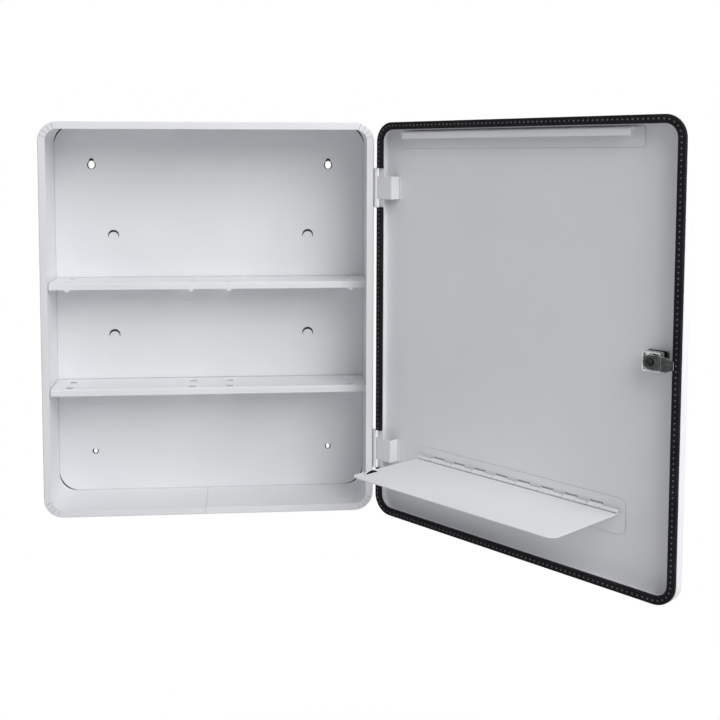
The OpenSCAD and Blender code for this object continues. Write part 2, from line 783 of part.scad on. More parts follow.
body_shell();
back_panel();
upper_shelf();
lower_shelf();
upper_hinge_body_leaf();
lower_hinge_body_leaf();
upper_hinge_pin();
lower_hinge_pin();
door_panel();
door_seal();
upper_hinge_door_leaf();
lower_hinge_door_leaf();
hook_rail();
tray_hinge_plate();
tray_hinge_pin();
lock_housing();
lock_clip();
tray();
tray_buffer();
lock_plug();
lock_cam();
cam_screw();
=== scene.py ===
"""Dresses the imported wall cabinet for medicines.

White powder-coated sheet steel, a black rubber seal with a row of pips, and a zinc cam lock
stand around the frame's solids. Everything is in metres: X to the right, Y into the wall and
Z up, with the origin in the middle of the cabinet's back face.
"""

import logging
import math
from dataclasses import dataclass, field
from enum import Enum

import bmesh
import bpy
from mathutils import Matrix, Vector


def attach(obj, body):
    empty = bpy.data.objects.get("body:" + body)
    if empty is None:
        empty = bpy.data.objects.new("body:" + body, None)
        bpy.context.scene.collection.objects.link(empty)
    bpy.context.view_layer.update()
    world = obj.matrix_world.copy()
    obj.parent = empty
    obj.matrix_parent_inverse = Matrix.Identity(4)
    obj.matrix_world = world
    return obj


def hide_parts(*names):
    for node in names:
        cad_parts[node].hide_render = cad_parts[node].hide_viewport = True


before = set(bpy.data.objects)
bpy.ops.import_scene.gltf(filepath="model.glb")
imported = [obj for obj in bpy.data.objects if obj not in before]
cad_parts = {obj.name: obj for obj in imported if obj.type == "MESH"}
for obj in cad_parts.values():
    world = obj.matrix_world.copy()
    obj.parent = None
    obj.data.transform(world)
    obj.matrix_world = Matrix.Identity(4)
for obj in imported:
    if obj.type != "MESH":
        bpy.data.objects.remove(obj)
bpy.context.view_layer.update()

log = logging.getLogger("medicine_cabinet")
Colour = tuple[float, float, float]
Place = tuple[float, float, float]
Socket = bpy.types.NodeSocket

MM = 0.001
# How a copy of a solid's loose triangles is made one clean mesh with soft folds
MERGE_GAP = 0.002 * MM
FLAT_ANGLE = math.radians(0.4)
FOLD_ANGLE = math.radians(32.0)
FOLD_SEGMENTS = 2
# The four corners of a rectangle, as signs of X and Z, in the order they are drawn
QUARTERS = ((1, 1), (-1, 1), (-1, -1), (1, -1))
WHITE: Colour = (1.0, 1.0, 1.0)
# Stands for a finish that no hand rubs
NO_PLACE: Place = (0.0, 0.0, -9.0)


class Body(Enum):
    """The moving bodies of the frame."""

    CABINET = "cabinet"
    DOOR = "door"
    TRAY = "fold_tray"
    LOCK = "lock"


class Slot(Enum):
    """The record's material slots."""

    WHITE = "white"
    RUBBER = "seal_rubber"
    ZINC = "lock_zinc"
    LOCK_STEEL = "lock_steel"
    PIN_STEEL = "steel"


# ---- node trees ----


class Graph:
    """Short calls for adding and joining nodes in one tree."""

    def __init__(self, tree: bpy.types.NodeTree) -> None:
        """Keeps the tree that the nodes are added to."""
        self.tree = tree

    def add(self, kind: str, inputs: dict | None = None, **settings: object) -> bpy.types.Node:
        """Adds a node.

        Args:
            kind: the node's type name.
            inputs: socket name or number to a value, or to another node's output.
            settings: properties of the node itself.

        Returns:
            The new node.
        """
        node = self.tree.nodes.new(kind)
        for key, value in settings.items():
            setattr(node, key, value)
        for key, value in (inputs or {}).items():
            if isinstance(value, Socket):
                self.join(value, node.inputs[key])
            else:
                node.inputs[key].default_value = value
        return node

    def math(self, operation: str, *values: float | Socket, clamp: bool = False) -> Socket:
        """Joins numbers or sockets by one operation, kept from 0 to 1 where clamp is set."""
        inputs = dict(enumerate(values))
        return self.add("ShaderNodeMath", inputs, operation=operation, use_clamp=clamp).outputs[0]

    def blend(self, factor: float | Socket, low: object, high: object) -> Socket:
        """Mixes two colours.

        Args:
            factor: how much of the second colour shows, from 0 to 1.
            low: the first colour, as RGB or a socket.
            high: the second colour, as RGB or a socket.

        Returns:
            The mixed colour's socket.
        """
        pair = [v if isinstance(v, Socket) else (*v, 1.0) for v in (low, high)]
        inputs = {"Factor": factor, 6: pair[0], 7: pair[1]}
        return self.add("ShaderNodeMix", inputs, data_type="RGBA").outputs[2]

    def join(self, source: Socket, target: Socket) -> None:
        """Joins an output to an input."""
        self.tree.links.new(source, target)

    def spread(self, value: Socket, low: float, high: float) -> Socket:
        """Maps a mask from 0 and 1 onto the values low and high."""
        inputs = {"Value": value, "To Min": low, "To Max": high}
        return self.add("ShaderNodeMapRange", inputs).outputs[0]


def shader_group(name: str, numbers: dict[str, float], vectors: tuple[str, ...],
                 outputs: tuple[str, ...]) -> tuple[Graph, dict[str, Socket], bpy.types.Node]:
    """Starts a shader node group with named sockets.

    Args:
        name: the group's name.
        numbers: names of its number inputs and their defaults.
        vectors: names of its vector inputs.
        outputs: names of its number outputs.

    Returns:
        The group's graph, its inputs by name, and its output node.
    """
    tree = bpy.data.node_groups.new(name, "ShaderNodeTree")
    for label in vectors:
        tree.interface.new_socket(label, in_out="INPUT", socket_type="NodeSocketVector")
    for label, value in numbers.items():
        socket = tree.interface.new_socket(label, in_out="INPUT", socket_type="NodeSocketFloat")
        socket.default_value = value
    for label in outputs:
        tree.interface.new_socket(label, in_out="OUTPUT", socket_type="NodeSocketFloat")
    graph = Graph(tree)
    entry = graph.add("NodeGroupInput")
    return graph, {s.name: s for s in entry.outputs if s.name}, graph.add("NodeGroupOutput")


@dataclass
class Effects:
    """The shader groups that several finishes share, each built once."""

    relief: bpy.types.NodeTree = field(init=False)
    brushing: bpy.types.NodeTree = field(init=False)
    dust: bpy.types.NodeTree = field(init=False)
    handling: bpy.types.NodeTree = field(init=False)
    crevice_shade: bpy.types.NodeTree = field(init=False)

    def __post_init__(self) -> None:
        """Builds every group."""
        self.relief = self.build_relief()
        self.brushing = self.build_brushing()
        self.dust = self.build_dust()
        self.handling = self.build_handling()
        self.crevice_shade = self.build_crevice_shade()

    @staticmethod
    def build_relief() -> bpy.types.NodeTree:
        """Builds the fine relief of a coat or a moulded skin.

        Returns:
            A group with Vector, Size, Cloud Size and Fineness in, and Height and Cloud out.
        """
        numbers = {"Size": 1.2 * MM, "Cloud Size": 120.0 * MM, "Fineness": 2.0}
        g, i, out = shader_group("fine_relief", numbers, ("Vector",), ("Height", "Cloud"))
        scale = g.math("DIVIDE", 1.0, i["Size"])
        peel = g.add("ShaderNodeTexNoise", {"Vector": i["Vector"], "Scale": scale,
                                            "Detail": i["Fineness"], "Roughness": 0.45})
        wide = g.math("DIVIDE", 1.0, i["Cloud Size"])
        cloud = g.add("ShaderNodeTexNoise", {"Vector": i["Vector"], "Scale": wide, "Detail": 3.0,
                                             "Roughness": 0.5, "Distortion": 0.3})
        soft = g.add("ShaderNodeMapRange", {"Value": cloud.outputs[0], "From Min": 0.34,
                                            "From Max": 0.66}, interpolation_type="SMOOTHSTEP")
        g.join(peel.outputs[0], out.inputs["Height"])
        g.join(soft.outputs[0], out.inputs["Cloud"])
        return g.tree

    @staticmethod
    def build_brushing() -> bpy.types.NodeTree:
        """Builds the fine parallel lines of brushed or drawn metal.

        Returns:
            A group with Vector, Across and Along in, and Height out.
        """
        g, i, out = shader_group("brushed_lines", {"Across": 0.2 * MM, "Along": 6.0 * MM},
                                 ("Vector",), ("Height",))
        parts = g.add("ShaderNodeSeparateXYZ", {0: i["Vector"]})
        across = g.math("DIVIDE", parts.outputs["Z"], i["Across"])
        level = [g.math("DIVIDE", parts.outputs[axis], i["Along"]) for axis in ("X", "Y")]
        joined = g.add("ShaderNodeCombineXYZ", {"X": level[0], "Y": level[1], "Z": across})
        lines = g.add("ShaderNodeTexNoise", {"Vector": joined.outputs[0], "Scale": 1.0,
                                             "Detail": 3.0, "Roughness": 0.6})
        g.join(lines.outputs[0], out.inputs["Height"])
        return g.tree

    @staticmethod
    def build_dust() -> bpy.types.NodeTree:
        """Builds dust that lies on faces that look up.

        Returns:
            A group with Vector, Normal, Amount and Speck Size in, and Mask out.
        """
        g, i, out = shader_group("settled_dust", {"Amount": 0.3, "Speck Size": 1.6 * MM},
                                 ("Vector", "Normal"), ("Mask",))
        up = g.add("ShaderNodeSeparateXYZ", {0: i["Normal"]}).outputs["Z"]
        facing = g.add("ShaderNodeMapRange", {"Value": up, "From Min": 0.55, "From Max": 0.95})
        scale = g.math("DIVIDE", 1.0, i["Speck Size"])
        specks = g.add("ShaderNodeTexNoise", {"Vector": i["Vector"], "Scale": scale,
                                              "Detail": 4.0, "Roughness": 0.7})
        drift = g.add("ShaderNodeTexNoise", {"Vector": i["Vector"], "Scale": 14.0, "Detail": 2.0})
        grains = g.add("ShaderNodeMapRange", {"Value": specks.outputs[0], "From Min": 0.45,
                                              "From Max": 0.75})
        spread = g.math("MULTIPLY", grains.outputs[0], drift.outputs[0])
        lying = g.math("MULTIPLY", spread, facing.outputs[0])
        g.join(g.math("MULTIPLY", lying, i["Amount"], clamp=True), out.inputs["Mask"])
        return g.tree

    @staticmethod
    def build_handling() -> bpy.types.NodeTree:
        """Builds the rubbed patch that hands leave around a place.

        Returns:
            A group with Vector, Centre, Reach and Amount in, and Mask out.
        """
        g, i, out = shader_group("handled_patch", {"Reach": 60.0 * MM, "Amount": 0.5},
                                 ("Vector", "Centre"), ("Mask",))
        gap = g.add("ShaderNodeVectorMath", {0: i["Vector"], 1: i["Centre"]}, operation="DISTANCE")
        near = g.add("ShaderNodeMapRange", {"Value": gap.outputs["Value"], "From Max": i["Reach"],
                                            "To Min": 1.0, "To Max": 0.0},
                     interpolation_type="SMOOTHSTEP")
        smear = g.add("ShaderNodeTexNoise", {"Vector": i["Vector"], "Scale": 160.0, "Detail": 5.0,
                                             "Roughness": 0.65, "Distortion": 1.2})
        rubbed = g.math("MULTIPLY", near.outputs[0], smear.outputs[0])
        g.join(g.math("MULTIPLY", rubbed, i["Amount"], clamp=True), out.inputs["Mask"])
        return g.tree

    @staticmethod
    def build_crevice_shade() -> bpy.types.NodeTree:
        """Builds painted shade: the darkening that ambient occlusion finds in narrow gaps and
        inner corners.

        Returns:
            A group with Reach in and Mask out.
        """
        g, i, out = shader_group("crevice_painted_shade", {"Reach": 2.2 * MM}, (), ("Mask",))
        sky = g.add("ShaderNodeAmbientOcclusion", {"Distance": i["Reach"]}, samples=4)
        hidden = g.math("SUBTRACT", 1.0, sky.outputs["AO"])
        painted_shade = g.add("ShaderNodeMapRange", {"Value": hidden, "From Min": 0.2, "From Max": 0.62},
                      interpolation_type="SMOOTHSTEP")
        g.join(painted_shade.outputs[0], out.inputs["Mask"])
        return g.tree


class Surface:
    """One material: a Principled shader with its coordinates, bump and shared effects."""

    def __init__(self, name: str, constants: dict[str, object]) -> None:
        """Starts the material.

        Args:
            name: the material's name.
            constants: Principled inputs that are the same all over.
        """
        self.material = bpy.data.materials.new(name)
        self.material.use_nodes = True
        self.graph = Graph(self.material.node_tree)
        self.shader = self.graph.tree.nodes["Principled BSDF"]
        for key, value in constants.items():
            self.shader.inputs[key].default_value = value
        where = self.graph.add("ShaderNodeTexCoord")
        self.place, self.normal = where.outputs["Object"], where.outputs["Normal"]

    def effect(self, group: bpy.types.NodeTree, **values: object) -> bpy.types.Node:
        """Places a shared effect.

        Args:
            group: the effect's node group.
            values: its inputs, with spaces in their names written as underscores.

        Returns:
            The group's node in this material.
        """
        inputs = {key.replace("_", " "): value for key, value in values.items()}
        node = self.graph.add("ShaderNodeGroup", node_tree=group)
        if "Vector" in node.inputs:
            inputs.setdefault("Vector", self.place)
        for key, value in inputs.items():
            if isinstance(value, Socket):
                self.graph.join(value, node.inputs[key])
            else:
                node.inputs[key].default_value = value
        return node

    def feed(self, name: str, value: Socket) -> None:
        """Joins a varying value to a Principled input."""
        self.graph.join(value, self.shader.inputs[name])

    def bump(self, height: Socket, depth: float) -> None:
        """Raises the surface by a height from 0 to 1, where 1 is the depth in metres."""
        inputs = {"Height": height, "Distance": depth, "Strength": 1.0}
        self.feed("Normal", self.graph.add("ShaderNodeBump", inputs).outputs[0])

    def show(self, shader: Socket) -> None:
        """Shows another shader than the plain Principled one."""
        self.graph.join(shader, self.graph.tree.nodes["Material Output"].inputs["Surface"])

    def plain_white(self) -> Socket:
        """Adds a white glow shader: the plain white background, and painted light where the wall
        patch's screw holes show.
        """
        return self.graph.add("ShaderNodeEmission", {"Color": (*WHITE, 1.0)}).outputs[0]


# ---- finishes ----


@dataclass(frozen=True)
class PowderCoat:
    """White powder coat with orange peel, faint clouding, dust, a handled patch and painted shade
    in gaps and inner corners.
    """

    name: str = "white_powder_coat"
    colour: Colour = (0.86, 0.868, 0.885)
    shade: Colour = (0.83, 0.838, 0.858)
    dust_colour: Colour = (0.74, 0.72, 0.69)
    gloss_low: float = 0.34
    gloss_high: float = 0.46
    peel_size: float = 1.1 * MM
    peel_depth: float = 0.012 * MM
    cloud_size: float = 160.0 * MM
    dust: float = 0.25
    dust_dulls: float = 0.4
    # Painted shade: how far the base colour darkens in gaps and inner corners, and the dark colour
    # it darkens to
    painted_shade: float = 0.72
    painted_shade_colour: Colour = (0.10, 0.10, 0.105)
    handled_reach: float = 70.0 * MM
    handled_dulls: float = 0.12
    handled: Place = NO_PLACE

    def material(self, effects: Effects) -> bpy.types.Material:
        """Builds the material.

        Args:
            effects: the shared shader groups.

        Returns:
            The material.
        """
        s = Surface(self.name, {"Specular IOR Level": 0.45, "IOR": 1.5})
        g = s.graph
        relief = s.effect(effects.relief, Size=self.peel_size, Cloud_Size=self.cloud_size,
                          Fineness=1.5)
        dust = s.effect(effects.dust, Normal=s.normal, Amount=self.dust)
        patch = s.effect(effects.handling, Centre=self.handled, Reach=self.handled_reach,
                         Amount=0.8)
        body = g.blend(relief.outputs["Cloud"], self.shade, self.colour)
        dusty = g.blend(dust.outputs["Mask"], body, self.dust_colour)
        # Painted shade: the base colour goes dark where ambient occlusion finds gaps and inner
        # corners
        shade_amount = g.math("MULTIPLY", s.effect(effects.crevice_shade).outputs["Mask"], self.painted_shade)
        s.feed("Base Color", g.blend(shade_amount, dusty, self.painted_shade_colour))
        rough = g.spread(relief.outputs["Cloud"], self.gloss_low, self.gloss_high)
        handled = g.math("MULTIPLY", patch.outputs["Mask"], self.handled_dulls)
        dulled = g.math("MULTIPLY", dust.outputs["Mask"], self.dust_dulls)
        s.feed("Roughness", g.math("ADD", g.math("ADD", rough, handled), dulled, clamp=True))
        s.bump(relief.outputs["Height"], self.peel_depth)
        return s.material


@dataclass(frozen=True)
class Rubber:
    """Black rubber with a fine skin and a little dust."""

    name: str = "black_rubber"
    colour: Colour = (0.008, 0.008, 0.009)
    worn: Colour = (0.017, 0.017, 0.019)
    dust_colour: Colour = (0.10, 0.098, 0.095)
    gloss_low: float = 0.66
    gloss_high: float = 0.82
    skin_size: float = 0.35 * MM
    skin_depth: float = 0.02 * MM
    cloud_size: float = 30.0 * MM
    dust: float = 0.3

    def material(self, effects: Effects) -> bpy.types.Material:
        """Builds the material.

        Args:
            effects: the shared shader groups.

        Returns:
            The material.
        """
        s = Surface(self.name, {"Specular IOR Level": 0.1})
        g = s.graph
        relief = s.effect(effects.relief, Size=self.skin_size, Cloud_Size=self.cloud_size,
                          Fineness=3.0)
        dust = s.effect(effects.dust, Normal=s.normal, Amount=self.dust)
        body = g.blend(relief.outputs["Cloud"], self.colour, self.worn)
        s.feed("Base Color", g.blend(dust.outputs["Mask"], body, self.dust_colour))
        s.feed("Roughness", g.spread(relief.outputs["Cloud"], self.gloss_low, self.gloss_high))
        s.bump(relief.outputs["Height"], self.skin_depth)
        return s.material


@dataclass(frozen=True)
class BareMetal:
    """Plated, turned or drawn metal with fine lines, stains and a handled patch."""

    name: str
    colour: Colour
    stain: Colour
    gloss_low: float
    gloss_high: float
    across: float = 0.12 * MM
    along: float = 5.0 * MM
    depth: float = 0.006 * MM
    grain_size: float = 0.5 * MM
    stain_size: float = 6.0 * MM
    handled_reach: float = 30.0 * MM
    handled_dulls: float = 0.15
    handled: Place = NO_PLACE

    def material(self, effects: Effects) -> bpy.types.Material:
        """Builds the material.

        Args:
            effects: the shared shader groups.

        Returns:
            The material.
        """
        s = Surface(self.name, {"Metallic": 1.0})
        g = s.graph
        relief = s.effect(effects.relief, Size=self.grain_size, Cloud_Size=self.stain_size,
                          Fineness=3.0)
        lines = s.effect(effects.brushing, Across=self.across, Along=self.along)
        patch = s.effect(effects.handling, Centre=self.handled, Reach=self.handled_reach,
                         Amount=0.7)
        s.feed("Base Color", g.blend(relief.outputs["Cloud"], self.stain, self.colour))
        rough = g.spread(lines.outputs["Height"], self.gloss_low, self.gloss_high)
        handled = g.math("MULTIPLY", patch.outputs["Mask"], self.handled_dulls)
        s.feed("Roughness", g.math("ADD", rough, handled, clamp=True))
        s.bump(lines.outputs["Height"], self.depth)
        return s.material


Finish = PowderCoat | Rubber | BareMetal


# ---- dressing the frame's solids ----


@dataclass
class Workshop:
    """Holds the materials and makes the dressed pieces."""

    white: bpy.types.Material
    body_white: bpy.types.Material
    white_edge_highlight: bpy.types.Material
    rubber: bpy.types.Material
    pip: bpy.types.Material
    zinc: bpy.types.Material
    zinc_edge_highlight: bpy.types.Material
    bright_zinc: bpy.types.Material
    lock_steel: bpy.types.Material
    pin_steel: bpy.types.Material

    def dress(self, node: str, piece: str, body: Body, slot: Slot,
              finishes: tuple[bpy.types.Material, ...], bevel: float) -> None:
        """Makes a merged copy of a frame node with softened edges, which replaces the node.

        Args:
            node: the frame's node.
            piece: the new piece's name.
            body: the body that it rides on.
            slot: the record's material slot.
            finishes: the material of the faces, then of the edges where it differs.
            bevel: width of the softened edges, in metres.
        """
        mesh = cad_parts[node].data.copy()
        mesh.name = piece
        mesh.materials.clear()
        for finish in finishes:
            mesh.materials.append(finish)
        made = finished_piece(piece, mesh, bevel, len(finishes) - 1)
        self.enter(made, body, slot, node)

    def enter(self, made: bpy.types.Object, body: Body, slot: Slot, *nodes: str) -> None:
        """Hangs a piece on its body's empty and hides the frame's nodes that it stands for.

        Args:
            made: the finished piece.
            body: the body that it rides on.
            slot: the record's material slot; not used.
            nodes: the frame's nodes that it replaces.
        """
        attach(made, body.value)
        if nodes:
            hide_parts(*nodes)
        log.info("%s: %d faces, on %s", made.name, len(made.data.polygons), body.value)


def placed(name: str, data: bpy.types.ID) -> bpy.types.Object:
    """Makes an object at the origin and links it to the scene.

    Args:
        name: the object's name.
        data: its mesh, light or camera.

    Returns:
        The object.
    """
    made = bpy.data.objects.new(name, data)
    bpy.context.scene.collection.objects.link(made)
    return made


def finished_piece(name: str, mesh: bpy.types.Mesh, bevel: float,
                   edge_finish: int) -> bpy.types.Object:
    """Makes an object of a mesh, with its folds softened.

    Args:
        name: the object's name.
        mesh: its mesh, which is tidied.
        bevel: width of the softened edges, in metres.
        edge_finish: number of the material that the softened edges get.

    Returns:
        The object, linked to the scene.
    """
    tidy_mesh(mesh)
    made = placed(name, mesh)
    soften = made.modifiers.new("soft_edges", "BEVEL")
    soften.width = bevel
    soften.segments = FOLD_SEGMENTS
    soften.limit_method = "ANGLE"
    soften.angle_limit = FOLD_ANGLE
    soften.harden_normals = True
    # The softened edges take the edge material; for the white and zinc parts it carries a painted
    # highlight
    soften.material = edge_finish
    return made


def tidy_mesh(mesh: bpy.types.Mesh) -> None:
    """Merges loose triangles, joins flat ones and marks the folds as sharp.

    Args:
        mesh: the mesh to change.
    """
    bm = bmesh.new()
    bm.from_mesh(mesh)
    bmesh.ops.remove_doubles(bm, verts=bm.verts, dist=MERGE_GAP)
    bmesh.ops.dissolve_limit(bm, angle_limit=FLAT_ANGLE, verts=bm.verts, edges=bm.edges)
    bmesh.ops.recalc_face_normals(bm, faces=bm.faces)
    for face in bm.faces:
        face.smooth = True
        face.material_index = 0
    for edge in bm.edges:
        edge.smooth = len(edge.link_faces) == 2 and edge.calc_face_angle(0.0) < FOLD_ANGLE
    bm.to_mesh(mesh)
    bm.free()


def rounded_rectangle(half_w: float, half_h: float, corner: float,
                      steps: int) -> list[tuple[float, float]]:
    """Gives points round a rectangle with rounded corners, from its right side up.

    Args:
        half_w: half the rectangle's width.
        half_h: half its height.
        corner: radius of its corners.
        steps: how many straight pieces each corner has.

    Returns:
        The points, as pairs of X and Z.
    """
    points = []
    for turn, (sx, sz) in enumerate(QUARTERS):
        for step in range(steps + 1):
            angle = math.radians(90.0) * (turn + step / steps)
            points.append((sx * (half_w - corner) + corner * math.cos(angle),
                           sz * (half_h - corner) + corner * math.sin(angle)))
    return points


def mesh_from_tree(name: str, points: bpy.types.Mesh, tree: bpy.types.NodeTree,
                   values: dict[str, object]) -> bpy.types.Object:
    """Runs a geometry tree on a mesh and keeps the result as a plain mesh.

    Args:
        name: the new object's name.
        points: the mesh that the tree starts from.
        tree: the geometry node tree.
        values: the tree's inputs by name.

    Returns:
        An object at the origin with the made mesh.
    """
    seed = placed(name + "_seed", points)
    maker = seed.modifiers.new("maker", "NODES")
    maker.node_group = tree
    for item in tree.interface.items_tree:
        if item.in_out == "INPUT" and item.name in values:
            maker[item.identifier] = values[item.name]
    bpy.context.view_layer.update()
    depsgraph = bpy.context.evaluated_depsgraph_get()
    mesh = bpy.data.meshes.new_from_object(seed.evaluated_get(depsgraph), depsgraph=depsgraph)
    mesh.name = name
    seed.modifiers.remove(maker)
    bpy.data.objects.remove(seed)
    return placed(name, mesh)


def geometry_group(name: str, numbers: dict[str, float], vectors: tuple[str, ...] = (),
                   ) -> tuple[Graph, dict[str, Socket], bpy.types.Node]:
    """Starts a geometry tree with a Geometry and a Material input.

    Args:
        name: the tree's name.
        numbers: names of its number inputs and their defaults.
        vectors: names of its vector inputs.

    Returns:
        The tree's graph, its inputs by name, and its output node.
    """
    tree = bpy.data.node_groups.new(name, "GeometryNodeTree")
    make = tree.interface.new_socket
    make("Geometry", in_out="INPUT", socket_type="NodeSocketGeometry")
    make("Finish", in_out="INPUT", socket_type="NodeSocketMaterial")
    for label in vectors:
        make(label, in_out="INPUT", socket_type="NodeSocketVector")
    for label, value in numbers.items():
        make(label, in_out="INPUT", socket_type="NodeSocketFloat").default_value = value
    make("Geometry", in_out="OUTPUT", socket_type="NodeSocketGeometry")
    graph = Graph(tree)
    entry = graph.add("NodeGroupInput")
    return graph, {s.name: s for s in entry.outputs if s.name}, graph.add("NodeGroupOutput")


# ---- sub-assemblies ----


@dataclass
class CabinetBody:
    """The sheet steel body with its back panel and shelves."""

    shop: Workshop
    edge: float = 0.2 * MM

    def build(self) -> None:
        """Dresses the shell, the back panel and both shelves."""
        white = (self.shop.body_white, self.shop.white_edge_highlight)
        for node in ("body_shell", "back_panel", "upper_shelf", "lower_shelf"):
            self.shop.dress(node, node + "_painted", Body.CABINET, Slot.WHITE, white, self.edge)


@dataclass
class DoorHinges:
    """Both door hinges, with their leaves and pins."""

    shop: Workshop
    edge: float = 0.18 * MM

    def build(self) -> None:
        """Dresses the leaves and the pins of both hinges."""
        white = (self.shop.white, self.shop.white_edge_highlight)
        for place in ("upper", "lower"):
            for part, body in (("body_leaf", Body.CABINET), ("door_leaf", Body.DOOR)):
                node = f"{place}_hinge_{part}"
                self.shop.dress(node, node + "_painted", body, Slot.WHITE, white, self.edge)
            node = f"{place}_hinge_pin"
            self.shop.dress(node, node + "_turned", Body.CABINET, Slot.PIN_STEEL,
                            (self.shop.pin_steel,), self.edge)


@dataclass
class DoorPlace:
    """Where the open door stands, and how a point of the closed door gets there."""

    pin_x: float = 207.0 * MM
    pin_out: float = 110.0 * MM
    open_degrees: float = 129.0

    def matrix(self) -> Matrix:
        """Returns the turn from the closed door to the open one."""
        pin = Matrix.Translation((self.pin_x, -self.pin_out, 0.0))
        return pin @ Matrix.Rotation(math.radians(self.open_degrees), 4, "Z") @ pin.inverted()


@dataclass
class SealPips:
    """The row of small raised pips along the middle of the rubber seal."""

    shop: Workshop
    place: DoorPlace
    width: float = 410.0 * MM
    height: float = 490.0 * MM
    corner: float = 24.0 * MM
    inset: float = 4.65 * MM
    face_out: float = 108.3 * MM
    hinge_z: float = 164.5 * MM
    hinge_half: float = 24.3 * MM
    end_gap: float = 3.0 * MM
    pitch: float = 5.7 * MM
    radius: float = 1.05 * MM
    rise: float = 0.28 * MM
    corner_steps: int = 10

    def runs(self) -> list[list[Vector]]:
        """Draws the two runs of the seal's middle line, broken at the hinges.

        Returns:
            The points of each run, on the closed door.
        """
        half_w, half_h = self.width / 2 - self.inset, self.height / 2 - self.inset
        ring = [Vector((x, -self.face_out, z)) for x, z in rounded_rectangle(
            half_w, half_h, self.corner - self.inset, self.corner_steps)]
        end = self.hinge_z + self.hinge_half + self.end_gap
        inner = self.hinge_z - self.hinge_half - self.end_gap
        side = [Vector((half_w, -self.face_out, z)) for z in (end, -end, inner, -inner)]
        return [[side[0], *ring, side[1]], [side[2], side[3]]]

    def tree(self) -> bpy.types.NodeTree:
        """Builds the tree that sets the pips along the line.

        Returns:
            The geometry node tree.
        """
        g, i, out = geometry_group("seal_pips", {"Pitch": self.pitch, "Radius": self.radius,
                                                 "Rise": self.rise}, ("Facing",))
        curve = g.add("GeometryNodeMeshToCurve", {"Mesh": i["Geometry"]})
        marks = g.add("GeometryNodeResampleCurve", {"Curve": curve.outputs[0],
                                                    "Length": i["Pitch"]}, mode="LENGTH")
        ball = g.add("GeometryNodeMeshUVSphere", {"Segments": 8, "Rings": 5,
                                                  "Radius": i["Radius"]})
        flat = g.math("DIVIDE", i["Rise"], i["Radius"])
        scale = g.add("ShaderNodeCombineXYZ", {"X": 1.0, "Y": 1.0, "Z": flat})
        dome = g.add("GeometryNodeTransform", {"Geometry": ball.outputs[0],
                                               "Scale": scale.outputs[0]})
        turn = g.add("FunctionNodeAlignRotationToVector", {"Vector": i["Facing"]}, axis="Z")
        row = g.add("GeometryNodeInstanceOnPoints", {"Points": marks.outputs[0],
                                                     "Instance": dome.outputs[0],
                                                     "Rotation": turn.outputs[0]})
        real = g.add("GeometryNodeRealizeInstances", {"Geometry": row.outputs[0]})
        dressed = g.add("GeometryNodeSetMaterial", {"Geometry": real.outputs[0],
                                                    "Material": i["Finish"]})
        smooth = g.add("GeometryNodeSetShadeSmooth", {"Geometry": dressed.outputs[0]})
        g.join(smooth.outputs[0], out.inputs[0])
        return g.tree

    def build(self) -> None:
        """Lays the pips along both runs of the seal."""
        matrix = self.place.matrix()
        corners, edges = [], []
        for run in self.runs():
            first = len(corners)
            corners += [matrix @ point for point in run]
            edges += [(k, k + 1) for k in range(first, len(corners) - 1)]
        line = bpy.data.meshes.new("seal_line")
        line.from_pydata(corners, edges, [])
        facing = matrix.to_3x3() @ Vector((0.0, 1.0, 0.0))
        made = mesh_from_tree("seal_pips", line, self.tree(), {
            "Pitch": self.pitch, "Radius": self.radius, "Rise": self.rise,
            "Facing": facing, "Finish": self.shop.pip})
        self.shop.enter(made, Body.DOOR, Slot.RUBBER)


@dataclass
class Door:
    """The door pan with its seal and hook rail."""

    shop: Workshop
    place: DoorPlace
    edge: float = 0.2 * MM
    rubber_edge: float = 0.25 * MM

    def build(self) -> None:
        """Dresses the pan, the rail and the seal, and lays the seal's pips."""
        white = (self.shop.white, self.shop.white_edge_highlight)
        for node in ("door_panel", "hook_rail"):
            self.shop.dress(node, node + "_painted", Body.DOOR, Slot.WHITE, white, self.edge)
        self.shop.dress("door_seal", "door_seal_moulded", Body.DOOR, Slot.RUBBER,
                        (self.shop.rubber,), self.rubber_edge)
        SealPips(self.shop, self.place).build()


@dataclass
class FoldTray:
    """The fold-down tray with its hinge plate, pin and buffer."""

    shop: Workshop
    edge: float = 0.22 * MM

    def build(self) -> None:
        """Dresses the plate, the pin, the tray and its buffer."""
        white = (self.shop.white, self.shop.white_edge_highlight)
        dress = self.shop.dress
        dress("tray_hinge_plate", "tray_hinge_plate_painted", Body.DOOR, Slot.WHITE, white,
              self.edge)
        dress("tray_hinge_pin", "tray_hinge_pin_drawn", Body.DOOR, Slot.PIN_STEEL,
              (self.shop.pin_steel,), self.edge)
        dress("tray", "tray_painted", Body.TRAY, Slot.WHITE, white, self.edge)
        dress("tray_buffer", "tray_buffer_moulded", Body.TRAY, Slot.RUBBER,
              (self.shop.rubber,), self.edge)


